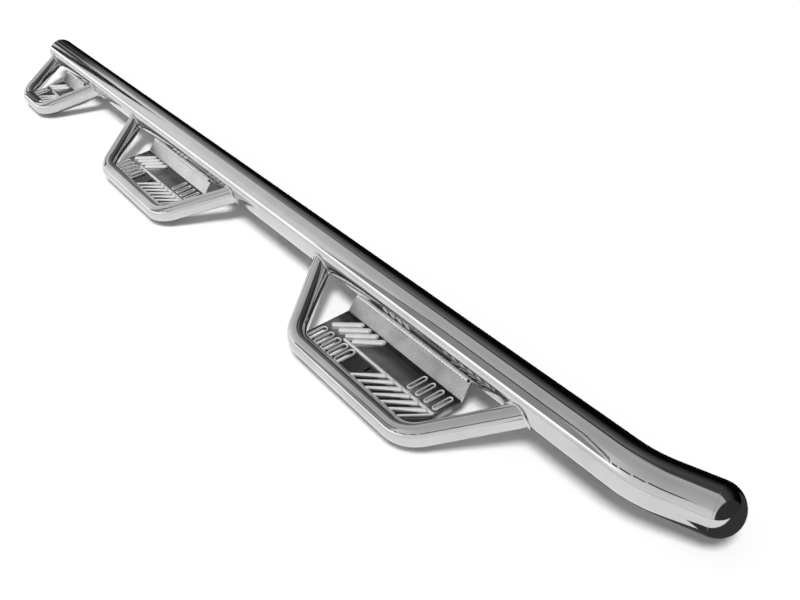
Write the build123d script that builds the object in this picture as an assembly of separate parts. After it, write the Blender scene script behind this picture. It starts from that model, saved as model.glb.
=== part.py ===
# Side step bar for a pickup: one long round tube with two door steps and a bed access step.
# Millimetres. X runs along the tube towards the front of the vehicle, the steps hang towards -Y, Z is up.
# The values below are measured from the tube's axis, level with the middle of the rear door step.
# The pieces are saved with the origin between the bolt holes of one bracket, on the underside of its foot.
import math
import os

from build123d import *

# Main tube
tube_d = 76.2
tube_wall = 2.0
tube_r = tube_d / 2
tube_bend_r = 2 * tube_d

# Front end of the tube: where it turns, by how much, how far below level that turn leans, and how far it then runs
front_corner_x = 1482.0
front_turn_deg = 26.0
front_lean_deg = -20.0
front_run = 62.0
back_end_x = -1012.0
cap_deep = 37.0
cap_wall = 2.5
cap_bands = 4

# Hoops under the doors and the bed
hoop_d = 38.1
hoop_wall = 1.8
bore_sides = 8
hoop_r = hoop_d / 2
bore_r = (hoop_r - hoop_wall) * math.sqrt(math.pi / (bore_sides / 2 * math.sin(2 * math.pi / bore_sides)))
hoop_bend_r = 76.0
hoop_reach = 175.0
hoop_drop_deg = 16.5
door_half_bar = 174.5
door_leg_spread = 145.5
bed_half_bar = 88.0
bed_leg_spread = 116.5
front_step_x = 978.0
rear_step_x = 0.0
bed_step_x = -799.0
bar_y = -hoop_reach * math.cos(math.radians(hoop_drop_deg))
bar_z = -hoop_reach * math.sin(math.radians(hoop_drop_deg))

# Treads and the plates behind them
tread_over_bar = 4.0
tread_top = bar_z + tread_over_bar
tread_t = 3.0
tread_rear_y = -55.0
tread_inset = 4.5
riser_t = 3.0
riser_lean_deg = 46.0

# Pressed pattern of a tread
step_pitch = 23.2
spine_y = -107.0
spine_w = 5.0
spine_h = 3.0
outer_front = -151.0
outer_back = -112.0
inner_front = -100.0
inner_back = -64.0
pocket_w = 13.0
slot_w = 5.4
rim_w = 2.4
rim_h = 2.2
bar_w = 8.6
bar_h = 3.2
bar_run = 46.0
louvre_w = 6.0
louvre_front_gap = 2.0
louvre_back_gap = 4.0
cut_reach = 9.0

# Welds
seam_weld = 3.0
riser_bead_inset = 6.0
tread_bead_inset = 45.0

# Mounting brackets on the hidden side
bracket_xs = (1372.0, 489.0, -457.0, -948.0)
bracket_l = 110.0
bracket_t = 5.0
bracket_front_y = -4.0
bracket_back_y = 72.0
bracket_top = -36.0
bolt_y = 54.0
bolt_spacing = 70.0
bolt_hole_d = 11.0
cheek_t = 5.0
cheek_spacing = 36.0
cheek_front_y = 14.0
cheek_back_y = 66.0
cheek_top_z = -8.0
cheek_top_front_y = 30.0
cheek_top_back_y = 38.0
foot_corner = 8.0
origin_bracket = 1
origin = Vector(bracket_xs[origin_bracket], bolt_y, bracket_top - bracket_t)

os.makedirs("parts", exist_ok=True)


def save(shape, name):
    export_step(Pos(-origin) * shape, "parts/" + name + ".step")


def largest(shape):
    return sorted(shape.solids(), key=lambda s: -s.volume)[0]


# Round tube or rod along a flat line of corners, each turned the same way with the same bend
def bent(points, radius, section):
    body = None
    start = points[0]
    hinge = (points[1] - points[0]).cross(points[2] - points[1]).normalized()
    for i in range(1, len(points)):
        way = (points[i] - points[i - 1]).normalized()
        stop = points[i]
        last = i == len(points) - 1
        if not last:
            onward = (points[i + 1] - points[i]).normalized()
            turn = way.get_angle(onward)
            cut = radius * math.tan(math.radians(turn) / 2)
            stop = points[i] - way * cut
        run = extrude(Plane(origin=start, x_dir=hinge, z_dir=way) * section, (stop - start).length)
        body = run if body is None else body + run
        if not last:
            centre = stop + hinge.cross(way) * radius
            ring = Plane(origin=stop, x_dir=hinge, z_dir=way) * section
            body = body + revolve(ring, axis=Axis(centre, hinge), revolution_arc=turn)
            start = points[i] + onward * cut
    return body


# Direction of the front end, which turns away from the steps
front_turn = math.radians(front_turn_deg)
front_lean = math.radians(front_lean_deg)
front_aside = Vector(0, math.cos(front_lean), math.sin(front_lean))
front_way = Vector(math.cos(front_turn), 0, 0) + front_aside * math.sin(front_turn)
front_corner = Vector(front_corner_x, 0, 0)
front_tip = front_corner + front_way * (tube_bend_r * math.tan(front_turn / 2) + front_run)
back_way = Vector(-1, 0, 0)
back_tip = Vector(back_end_x, 0, 0)
tube_points = [back_tip, front_corner, front_tip]
tube_solid = bent(tube_points, tube_bend_r, Circle(tube_r))
main_tube = bent(tube_points, tube_bend_r, Circle(tube_r) - Circle(tube_r - tube_wall))
save(main_tube, "main_tube")


# Quarter of an oval, from its rim to its crown, in a few straight pieces
def dome_line(radius, deep, bands):
    angles = [math.pi / 2 * i / bands for i in range(bands + 1)]
    return [(radius * math.cos(a), deep * math.sin(a)) for a in angles[:-1]] + [(0, deep)]


# Domed end cap welded to the end of the tube: a pressed shell
def end_cap(tip, way):
    outside = dome_line(tube_r, cap_deep, cap_bands)
    inside = dome_line(tube_r - cap_wall, cap_deep - cap_wall, cap_bands // 2)
    profile = Polyline(*outside, *reversed(inside), close=True)
    half = make_face(Plane.XZ * profile)
    return Plane(origin=tip, z_dir=way).location * revolve(half, axis=Axis.Z)


save(end_cap(front_tip, front_way) + end_cap(back_tip, back_way), "end_caps")


def hoop_points(x0, half_top, half_bar):
    return [
        Vector(x0 - half_top, 0, 0),
        Vector(x0 - half_bar, bar_y, bar_z),
        Vector(x0 + half_bar, bar_y, bar_z),
        Vector(x0 + half_top, 0, 0),
    ]


# One hoop: a flat bend of tube from the main tube out to the bar and back, its legs cut to sit on the tube.
# The closed bore has flat sides and the area of a round one.
def hoop(x0, half_top, half_bar):
    pts = hoop_points(x0, half_top, half_bar)
    body = bent(pts, hoop_bend_r, Circle(hoop_r) - RegularPolygon(bore_r, bore_sides))
    return largest(body - tube_solid)


# Straight pad with cut corners between two points, from one height to another
def pad(a, b, width, low, high, edge):
    way = Vector(b[0] - a[0], b[1] - a[1], 0)
    turn = math.degrees(math.atan2(way.Y, way.X))
    flat = Rectangle(way.length, width)
    flat = chamfer(flat.vertices(), width * 0.3)
    place = Pos((a[0] + b[0]) / 2, (a[1] + b[1]) / 2, low) * Rot(0, 0, turn)
    body = extrude(place * flat, high - low, dir=(0, 0, 1))
    if edge:
        body = chamfer(body.faces().sort_by(Axis.Z)[-1].edges(), edge)
    return body


# Pocket or slot along Y with a raised rim, as the piece to add and the piece to cut
def rimmed(x, y0, y1, width):
    wide = width + 2 * rim_w
    rim = pad((x, y0), (x, y1), wide, tread_top - 1, tread_top + rim_h, 0)
    hole = pad((x, y0 + rim_w), (x, y1 - rim_w), width, tread_top - cut_reach, tread_top + cut_reach, 0)
    return rim, hole


# Slanted bar that stands on the tread
def slanted(x, y0, y1):
    return pad((x, y0), (x + bar_run, y1), bar_w, tread_top - 1, tread_top + bar_h, 1.4)


# Tread plate with its pressed pattern: pockets and slanted bars outside the spine, bars and slots inside it
def tread(x0, half, pattern, hoop_solid):
    depth = tread_rear_y - bar_y
    body = Pos(x0, tread_rear_y - depth / 2, tread_top - tread_t / 2) * Box(2 * half, depth, tread_t)
    cuts = []
    spine_start = x0 + pattern["spine"]
    body = body + pad((spine_start, spine_y), (x0 + half, spine_y), spine_w, tread_top - 1, tread_top + spine_h, 1.2)
    for x in pattern["pockets"]:
        rim, hole = rimmed(x0 + x, outer_front, outer_back, pocket_w)
        body = body + rim
        cuts.append(hole)
    for x in pattern["slots"]:
        rim, hole = rimmed(x0 + x, inner_front, inner_back, slot_w)
        body = body + rim
        cuts.append(hole)
    for x in pattern["outer_bars"]:
        body = body + slanted(x0 + x, outer_front - 3, outer_back + 2)
    for x in pattern["inner_bars"]:
        body = body + slanted(x0 + x, inner_front, inner_back + 3)
    for x in pattern["louvres"]:
        front = (x0 + x, outer_front + louvre_front_gap)
        back = (x0 + x + bar_run * 0.8, outer_back - louvre_back_gap)
        cuts.append(pad(front, back, louvre_w, tread_top - cut_reach, tread_top + cut_reach, 0))
    for x, y, long, wide, height in pattern["blocks"]:
        body = body + Pos(x0 + x, y, tread_top + height / 2 - 0.5) * Box(long, wide, height + 1)
    for cut in cuts:
        body = body - cut
    return largest(body - hoop_solid)


# Plate that closes the step from the back of the tread up to the tube
def riser_line():
    lean = math.radians(riser_lean_deg)
    return Vector(0, math.cos(lean), math.sin(lean))


def riser(x0, half):
    up = riser_line()
    back = Vector(0, up.Z, -up.Y) * riser_t
    foot = Vector(0, tread_rear_y, tread_top)
    far = foot + up * tube_r * 1.4
    drop = riser_t / math.cos(math.radians(riser_lean_deg))
    profile = Polyline(
        (foot.Y, foot.Z),
        (far.Y, far.Z),
        (far.Y + back.Y, far.Z + back.Z),
        (foot.Y, foot.Z - drop),
        (foot.Y, foot.Z),
    )
    side = Plane(origin=(x0 - half, 0, 0), x_dir=(0, 1, 0), z_dir=(1, 0, 0))
    return largest(extrude(make_face(side * profile), 2 * half, dir=(1, 0, 0)) - tube_solid)


# Bead along the corner where the riser meets the tube
def riser_bead(x0, half):
    up = riser_line()
    foot = Vector(0, tread_rear_y, tread_top)
    along = foot.dot(up)
    meet = foot + up * (-along - math.sqrt(along**2 - foot.dot(foot) + tube_r**2))
    long = 2 * (half - riser_bead_inset)
    rod = Pos(x0, meet.Y, meet.Z) * Rot(0, 90, 0) * Cylinder(seam_weld, long)
    behind = Pos(x0, meet.Y, meet.Z) * Rot(riser_lean_deg, 0, 0) * Pos(0, 0, -tube_d) * Box(2 * long, 4 * tube_d, 2 * tube_d)
    return largest(rod - tube_solid - behind)


# Bead under the tread, where its front edge meets the bar
def tread_bead(x0, half_bar, hoop_solid):
    low = tread_top - tread_t
    meet_y = bar_y + math.sqrt(hoop_r**2 - (low - bar_z) ** 2)
    long = 2 * (half_bar - tread_bead_inset)
    rod = Pos(x0, meet_y, low) * Rot(0, 90, 0) * Cylinder(seam_weld, long)
    over = Pos(x0, meet_y, low + tube_d) * Box(2 * long, tube_d, 2 * tube_d)
    return largest(rod - over - hoop_solid)


door_pattern = {
    "spine": -100.0,
    "pockets": [-150.0 + i * step_pitch for i in range(5)],
    "slots": [88.5 + i * step_pitch for i in range(4)],
    "outer_bars": [-9.0 + i * step_pitch for i in range(6)],
    "inner_bars": [-153.0 + i * step_pitch for i in range(4)],
    "louvres": [7.5 + i * step_pitch for i in range(5)],
    "blocks": [(-14.0, -121.0, 26.0, 13.0, 2.0), (-155.0, -84.0, 26.0, 4.0, 1.6)],
}
bed_pattern = {
    "spine": -24.0,
    "pockets": [-64.0 + i * step_pitch for i in range(2)],
    "slots": [44.0 + i * step_pitch for i in range(2)],
    "outer_bars": [-15.0 + i * step_pitch for i in range(3)],
    "inner_bars": [-72.0 + i * step_pitch for i in range(2)],
    "louvres": [1.5 + i * step_pitch for i in range(2)],
    "blocks": [],
}
steps = (
    ("front", front_step_x, door_half_bar, door_leg_spread, door_pattern),
    ("rear", rear_step_x, door_half_bar, door_leg_spread, door_pattern),
    ("bed", bed_step_x, bed_half_bar, bed_leg_spread, bed_pattern),
)
hoops = []
for name, x0, half_bar, leg_spread, pattern in steps:
    half_top = half_bar + leg_spread
    half = half_bar - tread_inset
    hoop_solid = bent(hoop_points(x0, half_top, half_bar), hoop_bend_r, Circle(hoop_r))
    hoops.append(hoop(x0, half_top, half_bar))
    save(tread(x0, half, pattern, hoop_solid), "tread_" + name)
    save(tread_bead(x0, half_bar, hoop_solid), "tread_weld_" + name)
    save(riser(x0, half), "riser_" + name)
    save(riser_bead(x0, half), "riser_weld_" + name)
save(hoops[0] + hoops[1] + hoops[2], "hoops")


# Bracket on the hidden side: a flat foot with two bolt holes and two cheeks that stand against the tube
def bracket(x0):
    depth = bracket_back_y - bracket_front_y
    mid_y = (bracket_back_y + bracket_front_y) / 2
    body = Pos(x0, mid_y, bracket_top - bracket_t / 2) * Box(bracket_l, depth, bracket_t)
    body = chamfer(body.edges().filter_by(Axis.Z).group_by(Axis.Y)[-1], foot_corner)
    profile = Polyline(
        (cheek_front_y, bracket_top),
        (cheek_back_y, bracket_top),
        (cheek_top_back_y, cheek_top_z),
        (cheek_top_front_y, cheek_top_z),
        close=True,
    )
    for side in (-1, 1):
        face_x = x0 + side * cheek_spacing / 2 - cheek_t / 2
        stand = Plane(origin=(face_x, 0, 0), x_dir=(0, 1, 0), z_dir=(1, 0, 0))
        body = body + extrude(make_face(stand * profile), cheek_t, dir=(1, 0, 0))
    for side in (-1, 1):
        body = body - Pos(x0 + side * bolt_spacing / 2, bolt_y, bracket_top) * Cylinder(bolt_hole_d / 2, 4 * bracket_t)
    return largest(body - tube_solid)


brackets = bracket(bracket_xs[0])
for x in bracket_xs[1:]:
    brackets = brackets + bracket(x)
save(brackets, "brackets")
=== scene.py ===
import math

import bmesh
import bpy
from mathutils import Matrix, Vector


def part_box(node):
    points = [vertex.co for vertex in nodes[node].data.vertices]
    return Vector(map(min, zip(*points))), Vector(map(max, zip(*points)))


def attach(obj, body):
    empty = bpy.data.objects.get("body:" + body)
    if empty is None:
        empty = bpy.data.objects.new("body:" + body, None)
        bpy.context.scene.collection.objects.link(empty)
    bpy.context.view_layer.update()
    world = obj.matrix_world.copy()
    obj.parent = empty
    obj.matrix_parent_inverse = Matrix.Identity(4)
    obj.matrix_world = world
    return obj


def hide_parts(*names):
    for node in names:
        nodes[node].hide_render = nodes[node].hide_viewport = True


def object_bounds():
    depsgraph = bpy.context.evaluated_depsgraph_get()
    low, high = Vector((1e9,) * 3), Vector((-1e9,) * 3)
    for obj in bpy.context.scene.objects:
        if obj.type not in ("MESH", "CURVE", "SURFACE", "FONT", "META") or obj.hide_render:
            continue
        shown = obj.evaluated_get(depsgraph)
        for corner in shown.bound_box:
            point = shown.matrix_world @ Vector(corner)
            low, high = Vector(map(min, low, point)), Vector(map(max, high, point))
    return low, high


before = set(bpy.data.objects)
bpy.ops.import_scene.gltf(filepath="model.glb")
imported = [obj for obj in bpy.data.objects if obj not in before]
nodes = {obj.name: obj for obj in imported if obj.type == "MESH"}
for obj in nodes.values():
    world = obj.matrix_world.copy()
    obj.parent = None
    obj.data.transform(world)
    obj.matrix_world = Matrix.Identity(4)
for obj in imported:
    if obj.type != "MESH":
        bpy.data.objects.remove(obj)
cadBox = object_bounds()
print("frame loaded:", len(nodes), "nodes")

# The tube's straight run is parallel to X, at this height and depth in the frame
bar = {
    "axis": Vector((0, -0.054, 0.041)),
    "radius": 0.0381,
    "bendRadius": 0.1524,
    "frontCorner": 0.993,  # where the front end turns, along X
    "frontTurn": math.radians(26),
    "frontLean": math.radians(-20),
    "frontRun": 0.062,
    "backEnd": -1.501,
    "sides": 128,
    "bendSteps": 40,
}


# Surface effects that several finishes share
def newGroup(name, inputs, outputs):
    group = bpy.data.node_groups.new(name, "ShaderNodeTree")
    for label, kind, value in inputs:
        socket = group.interface.new_socket(name=label, in_out="INPUT", socket_type=kind)
        socket.default_value = value
    for label, kind in outputs:
        group.interface.new_socket(name=label, in_out="OUTPUT", socket_type=kind)
    return group, group.nodes.new("NodeGroupInput"), group.nodes.new("NodeGroupOutput")


def makePolishGroup():
    group, inputs, outputs = newGroup(
        "polishMarks",
        [("Cloud Scale", "NodeSocketFloat", 9.0), ("Hairline Scale", "NodeSocketFloat", 60.0)],
        [("Cloud", "NodeSocketFloat"), ("Hairline", "NodeSocketFloat"), ("Ripple", "NodeSocketFloat")],
    )
    n, link = group.nodes, group.links.new
    coords = n.new("ShaderNodeTexCoord")
    cloud = n.new("ShaderNodeTexNoise")  # faint fingers and polish haze
    cloud.inputs["Detail"].default_value = 5
    link(coords.outputs["Object"], cloud.inputs["Vector"])
    link(inputs.outputs["Cloud Scale"], cloud.inputs["Scale"])
    stretch = n.new("ShaderNodeMapping")  # hairlines run along the tube
    stretch.inputs["Scale"].default_value = (0.35, 9, 9)
    hairline = n.new("ShaderNodeTexNoise")
    hairline.inputs["Detail"].default_value = 3
    link(coords.outputs["Object"], stretch.inputs["Vector"])
    link(stretch.outputs["Vector"], hairline.inputs["Vector"])
    link(inputs.outputs["Hairline Scale"], hairline.inputs["Scale"])
    ripple = n.new("ShaderNodeTexNoise")  # long shallow waves that bend the reflections
    ripple.inputs["Scale"].default_value = 5
    ripple.inputs["Detail"].default_value = 1
    link(coords.outputs["Object"], ripple.inputs["Vector"])
    link(cloud.outputs["Fac"], outputs.inputs["Cloud"])
    link(hairline.outputs["Fac"], outputs.inputs["Hairline"])
    link(ripple.outputs["Fac"], outputs.inputs["Ripple"])
    return group


polishMarks = makePolishGroup()
noiseRange = (0.3, 0.7)  # nearly all of a noise's values lie between these


def newMaterial(name):
    material = bpy.data.materials.new(name)
    material.use_nodes = True
    return material, material.node_tree.nodes["Principled BSDF"]


def spread(tree, source, low, high):
    box = tree.nodes.new("ShaderNodeMapRange")
    box.inputs["From Min"].default_value = noiseRange[0]
    box.inputs["From Max"].default_value = noiseRange[1]
    box.inputs["To Min"].default_value = low
    box.inputs["To Max"].default_value = high
    tree.links.new(source, box.inputs["Value"])
    return box.outputs["Result"]


# Colours at places along a value that goes from 0 to 1
def colorsAlong(tree, source, stops):
    ramp = tree.nodes.new("ShaderNodeValToRGB")
    marks = ramp.color_ramp.elements
    marks.remove(marks[-1])
    for i, (place, color) in enumerate(stops):
        mark = marks[0] if i == 0 else marks.new(place)
        mark.position = place
        mark.color = (*color, 1)
    tree.links.new(source, ramp.inputs["Fac"])
    return ramp.outputs["Color"]


def makeSteel(name, look):
    material, shader = newMaterial(name)
    tree = material.node_tree
    marks = tree.nodes.new("ShaderNodeGroup")
    marks.node_tree = polishMarks
    marks.inputs["Cloud Scale"].default_value = look["cloudScale"]
    marks.inputs["Hairline Scale"].default_value = look["hairlineScale"]
    shader.inputs["Metallic"].default_value = look.get("metallic", 1)
    greys = zip(noiseRange, (look["dark"], look["light"]))
    tree.links.new(colorsAlong(tree, marks.outputs["Cloud"], greys), shader.inputs["Base Color"])
    mix = tree.nodes.new("ShaderNodeMath")
    mix.operation = "MULTIPLY"
    tree.links.new(marks.outputs["Cloud"], mix.inputs[0])
    tree.links.new(marks.outputs["Hairline"], mix.inputs[1])
    root = tree.nodes.new("ShaderNodeMath")
    root.operation = "SQRT"
    tree.links.new(mix.outputs[0], root.inputs[0])
    tree.links.new(spread(tree, root.outputs[0], *look["roughness"]), shader.inputs["Roughness"])
    wave = tree.nodes.new("ShaderNodeBump")
    wave.inputs["Strength"].default_value = look["waveStrength"]
    wave.inputs["Distance"].default_value = look["waveHeight"]
    tree.links.new(marks.outputs["Ripple"], wave.inputs["Height"])
    line = tree.nodes.new("ShaderNodeBump")
    line.inputs["Strength"].default_value = look["lineStrength"]
    line.inputs["Distance"].default_value = look["lineHeight"]
    tree.links.new(marks.outputs["Hairline"], line.inputs["Height"])
    tree.links.new(wave.outputs["Normal"], line.inputs["Normal"])
    tree.links.new(line.outputs["Normal"], shader.inputs["Normal"])
    return material


mirrorSteel = makeSteel("mirrorSteel", {
    "dark": (0.56, 0.56, 0.57), "light": (0.64, 0.64, 0.65), "roughness": (0.03, 0.09),
    "cloudScale": 11, "hairlineScale": 40, "waveStrength": 0.5, "waveHeight": 0.0006,
    "lineStrength": 0.15, "lineHeight": 0.00003,
})
# The ribs' steel is paler and less metallic than the plate's, so part of their brightness is painted
# highlight
ribSteel = makeSteel("ribSteel", {
    "dark": (0.86, 0.86, 0.87), "light": (0.97, 0.97, 0.97), "roughness": (0.14, 0.24), "metallic": 0.72,
    "cloudScale": 40, "hairlineScale": 90, "waveStrength": 0.4, "waveHeight": 0.0004,
    "lineStrength": 0.15, "lineHeight": 0.00003,
})
# The plate's grey is darker than the ribs' steel, as painted shade between the ribs
treadSteel = makeSteel("treadSteel", {
    "dark": (0.30, 0.30, 0.305), "light": (0.62, 0.62, 0.625), "roughness": (0.08, 0.20),
    "cloudScale": 24, "hairlineScale": 90, "waveStrength": 0.5, "waveHeight": 0.0006,
    "lineStrength": 0.2, "lineHeight": 0.00004,
})
# Painted light and shade along Y: the plate is dull at its front edge, bright inside the spine, dark at the
# riser's foot
treadPaintedLight = {
    "from": -0.205,
    "to": -0.112,
    "shades": ((0.0, 0.26), (0.42, 0.34), (0.48, 1.0), (0.66, 0.95), (0.85, 0.2), (1.0, 0.06)),
}


# Multiplies the plate's colour by its painted light and shade along Y
def paintLightAlongY(material, shades):
    tree = material.node_tree
    color = tree.nodes["Principled BSDF"].inputs["Base Color"]
    source = color.links[0].from_socket
    coords = tree.nodes.new("ShaderNodeTexCoord")
    split = tree.nodes.new("ShaderNodeSeparateXYZ")
    tree.links.new(coords.outputs["Object"], split.inputs["Vector"])
    place = tree.nodes.new("ShaderNodeMapRange")
    place.inputs["From Min"].default_value = shades["from"]
    place.inputs["From Max"].default_value = shades["to"]
    tree.links.new(split.outputs["Y"], place.inputs["Value"])
    stops = [(at, (light,) * 3) for at, light in shades["shades"]]
    shade = colorsAlong(tree, place.outputs["Result"], stops)
    mix = tree.nodes.new("ShaderNodeMix")  # its colours are inputs 6 and 7 and output 2
    mix.data_type = "RGBA"
    mix.blend_type = "MULTIPLY"
    mix.inputs["Factor"].default_value = 1
    tree.links.new(source, mix.inputs[6])
    tree.links.new(shade, mix.inputs[7])
    tree.links.new(mix.outputs[2], color)


paintLightAlongY(treadSteel, treadPaintedLight)
riserSteel = makeSteel("riserSteel", {
    "dark": (0.58, 0.58, 0.59), "light": (0.74, 0.74, 0.74), "roughness": (0.20, 0.34),
    "cloudScale": 13, "hairlineScale": 60, "waveStrength": 0.6, "waveHeight": 0.0014,
    "lineStrength": 0.1, "lineHeight": 0.00004,
})
weldSteel = makeSteel("weldSteel", {
    "dark": (0.50, 0.50, 0.50), "light": (0.80, 0.80, 0.80), "roughness": (0.12, 0.3),
    "cloudScale": 120, "hairlineScale": 120, "waveStrength": 0.5, "waveHeight": 0.0004,
    "lineStrength": 0.4, "lineHeight": 0.0001,
})
# The bead's steel is pale and less metallic, so part of its brightness is painted highlight
seamSteel = makeSteel("seamSteel", {
    "dark": (0.80, 0.80, 0.80), "light": (0.97, 0.97, 0.97), "roughness": (0.12, 0.24), "metallic": 0.45,
    "cloudScale": 90, "hairlineScale": 120, "waveStrength": 0.5, "waveHeight": 0.0004,
    "lineStrength": 0.3, "lineHeight": 0.00008,
})
bracketSteel = makeSteel("bracketSteel", {
    "dark": (0.42, 0.42, 0.42), "light": (0.58, 0.58, 0.58), "roughness": (0.3, 0.45),
    "cloudScale": 30, "hairlineScale": 90, "waveStrength": 0.3, "waveHeight": 0.0006,
    "lineStrength": 0.3, "lineHeight": 0.00006,
})
print("finishes made")

sameSpot = 0.000001  # points nearer than this are one
endStep = 0.012  # longest of the short steps at the ends of a straight run


# Meshes
def finishPiece(bm, name, material):
    bmesh.ops.remove_doubles(bm, verts=bm.verts, dist=sameSpot)
    bmesh.ops.recalc_face_normals(bm, faces=bm.faces)
    mesh = bpy.data.meshes.new(name)
    bm.to_mesh(mesh)
    bm.free()
    mesh.shade_smooth()
    mesh.materials.append(material)
    piece = bpy.data.objects.new(name, mesh)
    bpy.context.scene.collection.objects.link(piece)
    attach(piece, "root")
    return piece


def facing(way, at):
    return Matrix.Translation(at) @ Vector((0, 0, 1)).rotation_difference(way).to_matrix().to_4x4()


def edgesOf(verts):
    return list({e for v in verts for e in v.link_edges})


def addCircle(bm, sides, radius, place):
    return edgesOf(bmesh.ops.create_circle(bm, segments=sides, radius=radius, matrix=place)["verts"])


# Ring of edges pushed along a straight line
def pushRing(bm, ring, offset):
    moved = bmesh.ops.extrude_edge_only(bm, edges=ring)["geom"]
    bmesh.ops.translate(bm, verts=[v for v in moved if isinstance(v, bmesh.types.BMVert)], vec=offset)
    return [e for e in moved if isinstance(e, bmesh.types.BMEdge)]


# Ring of edges swung round a hinge
def swingRing(bm, ring, centre, hinge, turn, count):
    spun = bmesh.ops.spin(bm, geom=ring, cent=centre, axis=hinge, angle=turn, steps=count)
    return [e for e in spun["geom_last"] if isinstance(e, bmesh.types.BMEdge)]


# Straight run: short steps at both ends keep the shading even
def straightRun(bm, ring, way, length):
    step = min(endStep, length / 4)
    ring = pushRing(bm, ring, way * step)
    ring = pushRing(bm, ring, way * (length - 2 * step))
    return pushRing(bm, ring, way * step)


# Round tube along a line of corners, each turned with the same bend
def bendTube(bm, corners, tube):
    way = (corners[1] - corners[0]).normalized()
    ring = addCircle(bm, tube["sides"], tube["radius"], facing(way, corners[0]))
    start = corners[0]
    for i in range(1, len(corners)):
        way = (corners[i] - corners[i - 1]).normalized()
        stop = corners[i]
        if i < len(corners) - 1:
            onward = (corners[i + 1] - corners[i]).normalized()
            turn = way.angle(onward)
            back = tube["bendRadius"] * math.tan(turn / 2)
            stop = corners[i] - way * back
        ring = straightRun(bm, ring, way, (stop - start).length)
        if i < len(corners) - 1:
            hinge = way.cross(onward).normalized()
            centre = stop + hinge.cross(way) * tube["bendRadius"]
            ring = swingRing(bm, ring, centre, hinge, turn, tube["bendSteps"])
            start = corners[i] + onward * back


# Round bead laid in a full circle round a line
def addBeadRing(bm, centre, way, stand, bead):
    place = facing(way, centre) @ Matrix.Translation((stand, 0, 0)) @ Matrix.Rotation(math.pi / 2, 4, "X")
    ring = addCircle(bm, bead["across"], bead["radius"], place)
    turn = 2 * math.pi
    bmesh.ops.spin(bm, geom=ring, cent=centre, axis=way, angle=turn, steps=bead["around"], use_merge=True)


aside = Vector((0, math.cos(bar["frontLean"]), math.sin(bar["frontLean"])))
frontWay = Vector((math.cos(bar["frontTurn"]), 0, 0)) + aside * math.sin(bar["frontTurn"])
frontCorner = bar["axis"] + Vector((bar["frontCorner"], 0, 0))
frontTip = frontCorner + frontWay * (bar["bendRadius"] * math.tan(bar["frontTurn"] / 2) + bar["frontRun"])
backWay = Vector((-1, 0, 0))
backTip = bar["axis"] + Vector((bar["backEnd"], 0, 0))


def makeMainTube():
    bm = bmesh.new()
    bendTube(bm, [backTip, frontCorner, frontTip], bar)
    piece = finishPiece(bm, "barTube", mirrorSteel)
    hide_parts("main_tube")


makeMainTube()

# Round dome of an end cap
cap = {
    "deep": 0.037,
    "rings": 24,
    "tipSize": 0.02,  # share of the radius that is flat at the tip
}


def makeCap(name, tip, way):
    bm = bmesh.new()
    ring = addCircle(bm, bar["sides"], bar["radius"], facing(way, tip))
    size = 1.0
    out = 0.0
    for i in range(1, cap["rings"] + 1):
        angle = i / cap["rings"] * math.pi / 2
        nextSize = max(math.cos(angle), cap["tipSize"])
        nextOut = cap["deep"] * math.sin(angle)
        ring = pushRing(bm, ring, way * (nextOut - out))
        verts = list({v for e in ring for v in e.verts})
        centre = tip + way * nextOut
        bmesh.ops.scale(bm, vec=(nextSize / size,) * 3, verts=verts, space=Matrix.Translation(-centre))
        size, out = nextSize, nextOut
    bmesh.ops.contextual_create(bm, geom=ring)
    return finishPiece(bm, name, mirrorSteel)


frontCap = makeCap("frontCap", frontTip, frontWay)
backCap = makeCap("backCap", backTip, backWay)
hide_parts("end_caps")
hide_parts("end_caps")

# Bead round the joint of a cap and the tube, ground almost flush
capBead = {
    "radius": 0.0012,
    "proud": 0.0001,
    "around": 128,
    "across": 12,
}


def makeCapBead(name, tip, way):
    bm = bmesh.new()
    addBeadRing(bm, tip, way, bar["radius"] + capBead["proud"] - capBead["radius"], capBead)
    finishPiece(bm, name, mirrorSteel)


makeCapBead("capBeadFront", frontTip, frontWay)
makeCapBead("capBeadBack", backTip, backWay)
print("tube and caps made")

# Hoops under the doors and the bed: their tube, and how far out and how steeply they hang
hoopSizes = {
    "radius": 0.01905,
    "bendRadius": 0.076,
    "reach": 0.175,
    "drop": math.radians(16.5),
    "legEnd": 0.55,  # the legs end out of sight inside the main tube, at this share of its radius
    "sides": 64,
    "bendSteps": 24,
}
# Half widths of each hoop at the main tube and at its own bar
steps = {
    "Front": {"tread": "tread_front", "halfTop": 0.320, "halfBar": 0.1745},
    "Rear": {"tread": "tread_rear", "halfTop": 0.320, "halfBar": 0.1745},
    "Bed": {"tread": "tread_bed", "halfTop": 0.2045, "halfBar": 0.088},
}


def stepMiddle(step):
    low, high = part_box(step["tread"])
    return (low.x + high.x) / 2


def hoopCorners(step):
    reach, drop = hoopSizes["reach"], hoopSizes["drop"]
    out = Vector((0, -reach * math.cos(drop), -reach * math.sin(drop)))
    start = bar["axis"] + Vector((stepMiddle(step), 0, 0))
    corners = [
        start - Vector((step["halfTop"], 0, 0)),
        start - Vector((step["halfBar"], 0, 0)) + out,
        start + Vector((step["halfBar"], 0, 0)) + out,
        start + Vector((step["halfTop"], 0, 0)),
    ]
    inside = bar["radius"] * hoopSizes["legEnd"]
    for end, along in ((0, 1), (3, 2)):
        way = (corners[along] - corners[end]).normalized()
        corners[end] = corners[end] + way * inside / math.hypot(way.y, way.z)
    return corners


def makeHoop(label, corners):
    bm = bmesh.new()
    bendTube(bm, corners, hoopSizes)
    piece = finishPiece(bm, "hoop" + label, mirrorSteel)
    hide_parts("hoops")


# Bead round the foot of a leg, laid on the tube in overlapping drops
legBead = {
    "radius": 0.0034,
    "lift": 0.25,  # how far its heart stands off the leg, as a share of its radius
    "around": 160,
    "across": 12,
    "drops": 46,
    "dropDepth": 0.16,
    "dropLevel": 0.5,  # how far up a drop, from 0 to 1, the bead has its plain radius
}


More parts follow.
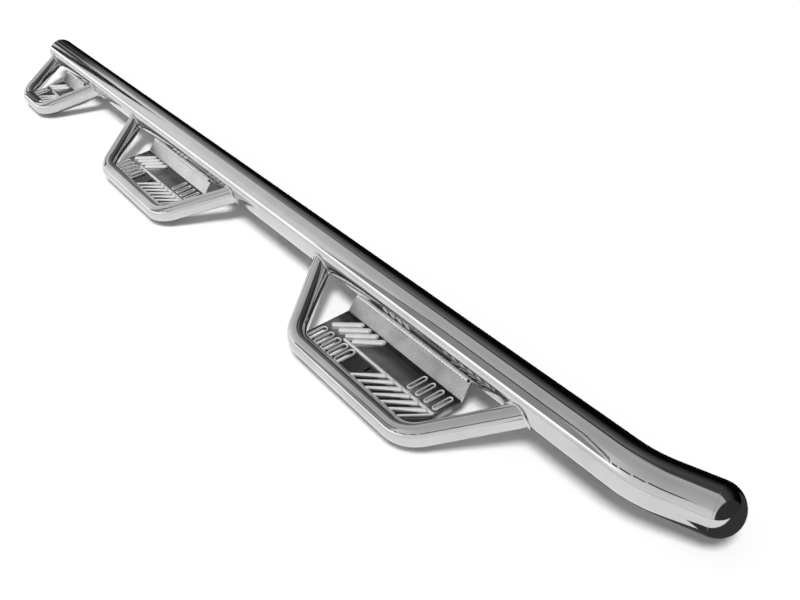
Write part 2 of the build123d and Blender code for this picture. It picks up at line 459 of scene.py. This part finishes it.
def makeLegWeld(name, end, way):
    bm = bmesh.new()
    stand = hoopSizes["radius"] + legBead["radius"] * legBead["lift"]
    addBeadRing(bm, end, way, stand, legBead)
    ringAt = facing(way, end)
    inverse = ringAt.inverted()
    for v in bm.verts:
        local = inverse @ v.co
        angle = math.atan2(local.y, local.x)
        heart = Vector((math.cos(angle), math.sin(angle), 0)) * stand
        drop = abs(math.sin(angle * legBead["drops"] / 2))
        swell = 1 + legBead["dropDepth"] * (drop - legBead["dropLevel"])
        world = ringAt @ (heart + (local - heart) * swell)
        foot = ringAt @ heart
        # slide along the leg until the bead's heart lies on the tube
        dy, dz = foot.y - bar["axis"].y, foot.z - bar["axis"].z
        a = way.y ** 2 + way.z ** 2
        b = dy * way.y + dz * way.z
        c = dy ** 2 + dz ** 2 - bar["radius"] ** 2
        slide = (-b + math.sqrt(max(b * b - a * c, 0))) / a
        v.co = world + way * slide
    finishPiece(bm, name, weldSteel)


for label, step in steps.items():
    corners = hoopCorners(step)
    makeHoop(label, corners)
    makeLegWeld("legWeldBack" + label, corners[0], (corners[1] - corners[0]).normalized())
    makeLegWeld("legWeldFront" + label, corners[3], (corners[2] - corners[3]).normalized())
print("hoops and welds made")

# Pressed forms of a tread, with depths along Y from the bar's axis. The run of a slanted bar is along X, and
# its tip is the share of its width that is left at its front end.
pressed = {
    "top": -0.0047,
    "sunk": 0.0008,  # how far the forms reach down into the plate
    "pitch": 0.0232,
    "spine": {"y": -0.107, "width": 0.0062},
    "edge": {"y": -0.1512, "width": 0.0036},
    "ridgeHeight": 0.0042,
    "outerBars": {"front": -0.153, "back": -0.107, "run": 0.04922, "width": 0.0098, "tip": 0.34},
    "innerBars": {"front": -0.101, "back": -0.060, "run": 0.046, "width": 0.0116, "tip": 1},
    "barHeight": 0.0060,
    "barTaper": 0.26,  # share of the length over which a bar grows from its tip to its full width
    "endRound": 0.46,  # share of the width
    "endSteps": 5,
    "topRound": 0.85,  # share of the height, or of half the width where that is less
    "topSteps": 4,
    "pockets": {"front": -0.152, "back": -0.111, "width": 0.0182, "thick": 0.0030},
    "slots": {"front": -0.101, "back": -0.062, "width": 0.0112, "thick": 0.0024},
    "rimHeight": 0.0046,
    "rimSides": 10,
    "rimSteps": 10,
    "rimFoot": 0.2,  # how far under its heart a rim's walls start, as a share of half its thickness
    "rimMerge": 0.00001,
}
# Places along X from a step's middle: start and end, or the first one and how many. The ridge at the end
# has two points in X and Y.
doorPattern = {
    "spine": (-0.100, 0.169),
    "pockets": (-0.150, 5),
    "slots": (0.0885, 4),
    "outerBars": (-0.009, 6),
    "edge": (-0.158, 0.128),
    "endRidge": ((0.131, -0.1505), (0.166, -0.1105)),
    "innerBars": (-0.153, 4),
}
bedPattern = {
    "spine": (-0.024, 0.0825),
    "pockets": (-0.064, 2),
    "slots": (0.044, 2),
    "outerBars": (-0.015, 3),
    "edge": (-0.070, 0.055),
    "endRidge": ((0.050, -0.1505), (0.080, -0.1105)),
    "innerBars": (-0.072, 2),
}


def places(run):
    first, count = run
    return [first + i * pressed["pitch"] for i in range(count)]


# A form that was made by itself joins the others of its piece
def addPart(bm, part):
    mesh = bpy.data.meshes.new("part")
    part.to_mesh(mesh)
    part.free()
    bm.from_mesh(mesh)
    bpy.data.meshes.remove(mesh)


def roundOff(part, edges, offset, count):
    return bmesh.ops.bevel(
        part, geom=edges, offset=offset, offset_type="OFFSET", affect="EDGES",
        segments=count, profile=0.5, material=-1,
    )["faces"]


# Rounded block between two points on the tread: round ends, rounded top, foot sunk in the plate
def addBar(bm, start, end, width, height, tip=1):
    part = bmesh.new()
    start, end = Vector((*start, 0)), Vector((*end, 0))
    length = (end - start).length
    tall = height + pressed["sunk"]
    made = bmesh.ops.create_cube(part, size=1)["verts"]
    bmesh.ops.scale(part, vec=(length, width, tall), verts=made)
    uprights = [e for e in edgesOf(made) if abs((e.verts[0].co - e.verts[1].co).z) > sameSpot]
    ends = roundOff(part, uprights, width * pressed["endRound"], pressed["endSteps"])
    body = list({v for f in ends for v in f.verts})
    topEdges = [e for e in edgesOf(body) if all(v.co.z > tall / 2 - sameSpot for v in e.verts)]
    roundOff(part, topEdges, min(height, width / 2) * pressed["topRound"], pressed["topSteps"])
    for v in part.verts:
        along = min((v.co.x / length + 0.5) / pressed["barTaper"], 1)
        v.co.y *= tip + (1 - tip) * max(along, 0)
    way = end - start
    middle = (start + end) / 2 + Vector((0, 0, pressed["top"] + (height - pressed["sunk"]) / 2))
    turn = Matrix.Rotation(math.atan2(way.y, way.x), 4, "Z")
    bmesh.ops.transform(part, matrix=Matrix.Translation(middle) @ turn, verts=part.verts)
    addPart(bm, part)


# Rounded rim round a pocket or slot, with walls down to the plate under its round lip
def addRim(bm, x, size):
    part = bmesh.new()
    thick = size["thick"] / 2
    halfWidth = size["width"] / 2
    heart = pressed["top"] + pressed["rimHeight"] - thick
    ring = addCircle(part, pressed["rimSides"], thick, Matrix.Rotation(math.pi / 2, 4, "X"))
    start = (x + halfWidth - thick, size["front"] + halfWidth, heart)
    bmesh.ops.translate(part, verts=part.verts, vec=start)
    straight = size["back"] - size["front"] - size["width"]
    for y, push in ((size["back"] - halfWidth, straight), (size["front"] + halfWidth, -straight)):
        ring = pushRing(part, ring, (0, push, 0))
        ring = swingRing(part, ring, (x, y, 0), (0, 0, 1), math.pi, pressed["rimSteps"])
    bmesh.ops.remove_doubles(part, verts=part.verts, dist=pressed["rimMerge"])
    for v in part.verts:
        if v.co.z < heart - thick * pressed["rimFoot"]:
            v.co.z = pressed["top"] - pressed["sunk"]
    addPart(bm, part)


def makeRibs(label, step, pattern):
    bm = bmesh.new()
    for kind in ("spine", "edge"):
        y = pressed[kind]["y"]
        start, end = pattern[kind]
        addBar(bm, (start, y), (end, y), pressed[kind]["width"], pressed["ridgeHeight"])
    addBar(bm, *pattern["endRidge"], pressed["edge"]["width"], pressed["ridgeHeight"])
    for kind in ("outerBars", "innerBars"):
        size = pressed[kind]
        for x in places(pattern[kind]):
            end = (x + size["run"], size["back"])
            addBar(bm, (x, size["front"]), end, size["width"], pressed["barHeight"], size["tip"])
    for kind in ("pockets", "slots"):
        for x in places(pattern[kind]):
            addRim(bm, x, pressed[kind])
    bmesh.ops.translate(bm, verts=bm.verts, vec=(stepMiddle(step), bar["axis"].y, 0))
    finishPiece(bm, "ribs" + label, ribSteel)


makeRibs("Front", steps["Front"], doorPattern)
makeRibs("Rear", steps["Rear"], doorPattern)
makeRibs("Bed", steps["Bed"], bedPattern)
print("tread ribs made")

# Bead along the riser's top edge, in overlapping drops
seam = {
    "radius": 0.0036,
    "pitch": 0.0078,
    "stepsPerDrop": 10,
    "across": 14,
    "dropDepth": 0.42,
    "dropLevel": 0.6,  # how far up a drop, from 0 to 1, the bead has its plain radius
}


def makeSeam(label, step):
    low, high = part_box(step["tread"].replace("tread", "riser_weld"))
    length = high.x - low.x
    heart = Vector((low.x, (low.y + high.y) / 2, (low.z + high.z) / 2))
    count = round(length / seam["pitch"]) * seam["stepsPerDrop"]
    bm = bmesh.new()
    ring = addCircle(bm, seam["across"], seam["radius"], facing(Vector((1, 0, 0)), heart))
    for i in range(count):
        ring = pushRing(bm, ring, Vector((length / count, 0, 0)))
    for v in bm.verts:
        drop = abs(math.sin((v.co.x - low.x) / seam["pitch"] * math.pi))
        size = 1 + seam["dropDepth"] * (drop - seam["dropLevel"])
        v.co = Vector((v.co.x, heart.y + (v.co.y - heart.y) * size, heart.z + (v.co.z - heart.z) * size))
    piece = finishPiece(bm, "seam" + label, seamSteel)
    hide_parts(step["tread"].replace("tread", "riser_weld"))


for label, step in steps.items():
    makeSeam(label, step)

for name, node in nodes.items():
    finish = mirrorSteel
    if "weld" in name:
        finish = weldSteel
    elif name.startswith("tread"):
        finish = treadSteel
    elif name.startswith("riser"):
        finish = riserSteel
    elif name == "brackets":
        finish = bracketSteel
    node.data.materials.clear()
    node.data.materials.append(finish)
print("seams made and nodes finished")

# White floor, and a half round tent of light with cards that only mirrored rays see
studio = {
    "floorDrop": 0.009,
    "floorSize": 60.0,
    "floorColor": (0.93, 0.93, 0.93, 1),
    "tentRadius": 6.0,
    "tentLength": 40.0,
    "tentDip": 0.3,  # how far its lower edges hang below the bar's axis
    "tentSteps": 120,
    "tentStrength": 2,
    "cardInset": 0.1,  # how far inside the tent the curved cards hang
    "cardSteps": 10,
    "cardLift": 0.001,  # of a floor card over the floor
    "flagNear": 0.045,
    "flagFar": 6.3,
    "flagLight": 0.004,
    "tipCardLong": 3.0,
    "tipCardWide": 3.0,
    "tipCardSide": 0.11,
    "tipCardLight": 0.05,
    "endWallPlace": 5.0,
    "endWallHalf": 6.6,
    "endWallLight": 0.04,
    # grey of the strip under the bar, painted shade for the floor's shadow there
    "underShadeLevel": 0.07,
    "underNear": -0.02,
    "worldForFloor": 0.34,
    "sunPower": 2.75,
    "sunSlope": (0.47, -0.25),  # towards the sun, for each metre up
    "sunSpread": math.radians(18),
}
# Brightness of the tent by the angle round the bar, from the vehicle's side (0) over the top to the steps'
# side (180). What the tube mirrors lies far behind it, so the straight run sees the middle and the back,
# and the front end its own part.
tentBands = {
    "front": (
        (0, 0.0), (27, 0.004), (40, 0.03), (50, 0.06), (76, 0.07), (79, 0.58), (100, 0.50), (136, 0.62),
        (146, 0.75), (149, 0.85), (180, 0.95),
    ),
    "middle": (
        (0, 0.0), (27, 0.005), (45, 0.08), (64, 0.20), (66, 0.03), (71, 0.03), (73, 0.66), (75, 0.5),
        (77, 0.62), (79, 0.48), (81, 0.56), (96, 0.52), (121, 0.60), (126, 0.80), (150, 0.85), (160, 1.7),
        (166, 1.7), (169, 0.95), (180, 0.95),
    ),
    "back": (
        (0, 0.0), (22, 0.01), (32, 0.14), (44, 0.26), (48, 0.16), (52, 0.30), (64, 0.36), (67, 0.62),
        (70, 0.30), (73, 0.85), (80, 0.92), (120, 1.0), (148, 0.95), (152, 0.62), (155, 1.0), (160, 1.7),
        (166, 1.7), (169, 1.0), (180, 0.95),
    ),
    "end": (
        (0, 0.0), (22, 0.01), (32, 0.05), (44, 0.02), (52, 0.10), (60, 0.03), (76, 0.04), (80, 0.45),
        (84, 0.40), (87, 0.04), (104, 0.06), (110, 0.55), (116, 0.85), (148, 0.95), (160, 1.7), (166, 1.7),
        (169, 1.0), (180, 0.95),
    ),
}
# Where along X one part of the tent blends into the next
tentParts = {"frontEdge": (-2.4, 0.2), "backEdge": (-14.0, -4.0), "endEdge": (-16.6, -14.9)}
# Curved cards inside the tent: a grey wedge with a dark edge, a broken dark line ahead of it and a dark
# streak far behind. Each has its light, then two rows of angle, start and end along X.
tentCards = {
    "wedge": (0.36, ((126, -5.4, -3.2), (158, -7.4, -2.6))),
    "wedgeTop": (0.02, ((121.5, -5.2, -3.0), (127.0, -5.5, -3.0))),
    "wedgeBack": (0.10, ((126, -5.55, -5.25), (159, -7.6, -7.35))),
    "wedgeFront": (0.02, ((122, -3.10, -2.98), (159, -2.45, -2.30))),
    "dash1": (0.02, ((149, -2.1, -1.4), (155, -2.1, -1.4))),
    "dash2": (0.02, ((147, -1.2, 0.0), (152, -1.2, 0.0))),
    "dash3": (0.02, ((144, 0.2, 1.3), (149, 0.2, 1.3))),
    "dash4": (0.02, ((141, 1.5, 3.2), (146, 1.5, 3.2))),
    "endStreak": (0.02, ((92, -15.2, -12.4), (150, -19.2, -17.0))),
}


def stageObject(bm, name, material):
    mesh = bpy.data.meshes.new(name)
    bm.to_mesh(mesh)
    bm.free()
    mesh.materials.append(material)
    card = bpy.data.objects.new(name, mesh)
    bpy.context.scene.collection.objects.link(card)
    return card


def onlyMirrored(card):
    card.visible_camera = False
    card.visible_diffuse = False
    card.visible_shadow = False
    card.visible_transmission = False


floorZ = cadBox[0].z - studio["floorDrop"]


def makeFloor():
    material, shader = newMaterial("floorPaper")
    shader.inputs["Base Color"].default_value = studio["floorColor"]
    shader.inputs["Roughness"].default_value = 1
    shader.inputs["Specular IOR Level"].default_value = 0
    bm = bmesh.new()
    bmesh.ops.create_grid(bm, x_segments=1, y_segments=1, size=studio["floorSize"] / 2)
    bmesh.ops.translate(bm, verts=bm.verts, vec=(0, 0, floorZ))
    stageObject(bm, "floor", material)


def glowMaterial(name):
    material = bpy.data.materials.new(name)
    material.use_nodes = True
    tree = material.node_tree
    tree.nodes.remove(tree.nodes["Principled BSDF"])
    glow = tree.nodes.new("ShaderNodeEmission")
    tree.links.new(glow.outputs["Emission"], tree.nodes["Material Output"].inputs["Surface"])
    return material, glow


def stageCard(bm, name, light):
    material, glow = glowMaterial(name)
    glow.inputs["Color"].default_value = (light, light, light, 1)
    onlyMirrored(stageObject(bm, name, material))


# Flat card just over the floor, from one corner to the other
def makeFloorCard(name, light, start, end, lift):
    bm = bmesh.new()
    bmesh.ops.create_grid(bm, x_segments=1, y_segments=1, size=0.5)
    bmesh.ops.scale(bm, vec=(end[0] - start[0], end[1] - start[1], 1), verts=bm.verts)
    middle = ((start[0] + end[0]) / 2, (start[1] + end[1]) / 2, floorZ + lift)
    bmesh.ops.translate(bm, verts=bm.verts, vec=middle)
    stageCard(bm, name, light)


# Black flag on the vehicle's side, a grey strip under the bar as painted shade for the floor's shadow there,
# which its lowest edge mirrors, and a dark card ahead of the front cap
def makeFloorCards():
    lift = studio["cardLift"]
    half = studio["tentLength"] / 2
    side = bar["axis"].y + bar["radius"]
    near = side + studio["flagNear"]
    makeFloorCard("floorFlag", studio["flagLight"], (-half, near), (half, side + studio["flagFar"]), lift)
    # The strip under the bar is painted shade for the floor's shadow, seen only in reflections
    under = bar["axis"].y + studio["underNear"]
    makeFloorCard("underShadeStrip", studio["underShadeLevel"], (backTip.x, under), (frontTip.x, near), lift)
    start = (frontTip.x, frontTip.y - studio["tipCardSide"])
    end = (start[0] + studio["tipCardLong"], start[1] + studio["tipCardWide"])
    makeFloorCard("tipCard", studio["tipCardLight"], start, end, 2 * lift)


# Dark wall across the front end of the tent, which the front cap mirrors
def makeEndWall():
    bm = bmesh.new()
    turn = Matrix.Rotation(math.pi / 2, 4, "Y")
    place = Matrix.Translation((studio["endWallPlace"], bar["axis"].y, 0)) @ turn
    bmesh.ops.create_grid(bm, x_segments=1, y_segments=1, size=studio["endWallHalf"], matrix=place)
    stageCard(bm, "endWall", studio["endWallLight"])


def mixAlong(tree, source, edge, low, high):
    share = tree.nodes.new("ShaderNodeMapRange")
    share.inputs["From Min"].default_value = edge[0]
    share.inputs["From Max"].default_value = edge[1]
    tree.links.new(source, share.inputs["Value"])
    mix = tree.nodes.new("ShaderNodeMix")
    mix.data_type = "RGBA"
    tree.links.new(share.outputs["Result"], mix.inputs["Factor"])
    tree.links.new(low, mix.inputs[6])
    tree.links.new(high, mix.inputs[7])
    return mix.outputs[2]


# Curved card in front of the tent's cloth, between its two rows
def makeArcCard(name, light, rows):
    radius = studio["tentRadius"] - studio["cardInset"]
    bm = bmesh.new()
    edges = []
    for i in range(studio["cardSteps"] + 1):
        degrees, start, end = Vector(rows[0]).lerp(Vector(rows[1]), i / studio["cardSteps"])
        y = bar["axis"].y + radius * math.cos(math.radians(degrees))
        z = bar["axis"].z + radius * math.sin(math.radians(degrees))
        edges.append(bm.edges.new((bm.verts.new((start, y, z)), bm.verts.new((end, y, z)))))
    for low, high in zip(edges, edges[1:]):
        bmesh.ops.contextual_create(bm, geom=[low, high])
    stageCard(bm, name, light)


def makeTent():
    material, glow = glowMaterial("tentCloth")
    tree = material.node_tree
    n, link = tree.nodes, tree.links.new
    coords = n.new("ShaderNodeTexCoord")
    split = n.new("ShaderNodeSeparateXYZ")
    link(coords.outputs["Object"], split.inputs["Vector"])
    across = n.new("ShaderNodeMath")
    across.operation = "SUBTRACT"
    across.inputs[1].default_value = bar["axis"].y
    link(split.outputs["Y"], across.inputs[0])
    rise = n.new("ShaderNodeMath")
    rise.operation = "SUBTRACT"
    rise.inputs[1].default_value = bar["axis"].z
    link(split.outputs["Z"], rise.inputs[0])
    angle = n.new("ShaderNodeMath")
    angle.operation = "ARCTAN2"
    link(rise.outputs[0], angle.inputs[0])
    link(across.outputs[0], angle.inputs[1])
    share = n.new("ShaderNodeMath")
    share.operation = "DIVIDE"
    share.inputs[1].default_value = math.pi
    link(angle.outputs[0], share.inputs[0])
    strength = studio["tentStrength"]
    colors = {}
    for part, bands in tentBands.items():
        stops = [(degrees / 180, (light / strength,) * 3) for degrees, light in bands]
        colors[part] = colorsAlong(tree, share.outputs[0], stops)
    behind = mixAlong(tree, split.outputs["X"], tentParts["endEdge"], colors["end"], colors["back"])
    behind = mixAlong(tree, split.outputs["X"], tentParts["backEdge"], behind, colors["middle"])
    color = mixAlong(tree, split.outputs["X"], tentParts["frontEdge"], behind, colors["front"])
    link(color, glow.inputs["Color"])
    glow.inputs["Strength"].default_value = strength
    bm = bmesh.new()
    middle = Vector((0, bar["axis"].y, bar["axis"].z))
    half, radius, dip = studio["tentLength"] / 2, studio["tentRadius"], studio["tentDip"]
    ends = [bm.verts.new(middle + Vector((x, radius, -dip))) for x in (half, -half)]
    edge = bm.edges.new(ends)
    sweep = math.pi + 2 * math.asin(dip / radius)
    geom = ends + [edge]
    bmesh.ops.spin(bm, geom=geom, cent=middle, axis=(1, 0, 0), angle=sweep, steps=studio["tentSteps"])
    onlyMirrored(stageObject(bm, "lightTent", material))


# White for the camera and for mirrored rays, and a lower level that lights the floor
def makeWorld():
    world = bpy.data.worlds.new("studioWorld")
    bpy.context.scene.world = world
    world.use_nodes = True
    n, link = world.node_tree.nodes, world.node_tree.links.new
    back = n["Background"]
    back.inputs["Color"].default_value = (1, 1, 1, 1)
    path = n.new("ShaderNodeLightPath")
    seen = n.new("ShaderNodeMath")
    seen.operation = "MAXIMUM"
    link(path.outputs["Is Camera Ray"], seen.inputs[0])
    link(path.outputs["Is Glossy Ray"], seen.inputs[1])
    either = n.new("ShaderNodeMath")
    either.operation = "MAXIMUM"
    link(seen.outputs[0], either.inputs[0])
    link(path.outputs["Is Transmission Ray"], either.inputs[1])
    level = n.new("ShaderNodeMapRange")
    level.inputs["To Min"].default_value = studio["worldForFloor"]
    level.inputs["To Max"].default_value = 1
    link(either.outputs[0], level.inputs["Value"])
    link(level.outputs["Result"], back.inputs["Strength"])


def makeSun():
    lamp = bpy.data.lights.new("softSun", "SUN")
    lamp.energy = studio["sunPower"]
    lamp.angle = studio["sunSpread"]
    holder = bpy.data.objects.new("softSun", lamp)
    bpy.context.scene.collection.objects.link(holder)
    holder.rotation_euler = Vector((*studio["sunSlope"], 1)).to_track_quat("Z", "Y").to_euler()
    holder.visible_glossy = False


makeFloor()
makeFloorCards()
makeEndWall()
makeTent()
for name, (light, rows) in tentCards.items():
    makeArcCard(name, light, rows)
makeWorld()
makeSun()
print("studio made")

# Camera: heading from +Y towards -X, dip below level and roll about the line of sight
view = {
    "place": Vector((1.6635, -0.7274, 1.0016)),
    "heading": 1.0757,
    "dip": 0.5965,
    "roll": 0.1714,
    "lens": 44.51,
    "sensor": 36,
    "farEnd": 100,
}


def makeCamera():
    data = bpy.data.cameras.new("camera")
    data.lens = view["lens"]
    data.sensor_width = view["sensor"]
    data.clip_end = view["farEnd"]
    camera = bpy.data.objects.new("camera", data)
    bpy.context.scene.collection.objects.link(camera)
    heading, dip, roll = view["heading"], view["dip"], view["roll"]
    sight = Vector((-math.sin(heading) * math.cos(dip), math.cos(heading) * math.cos(dip), -math.sin(dip)))
    right = sight.cross(Vector((0, 0, 1))).normalized()
    down = sight.cross(right)
    across = right * math.cos(roll) + down * math.sin(roll)
    below = down * math.cos(roll) - right * math.sin(roll)
    turn = Matrix((across, -below, -sight)).transposed()
    camera.matrix_world = Matrix.Translation(view["place"]) @ turn.to_4x4()
    bpy.context.scene.camera = camera


makeCamera()
bpy.context.scene.view_settings.view_transform = "Standard"
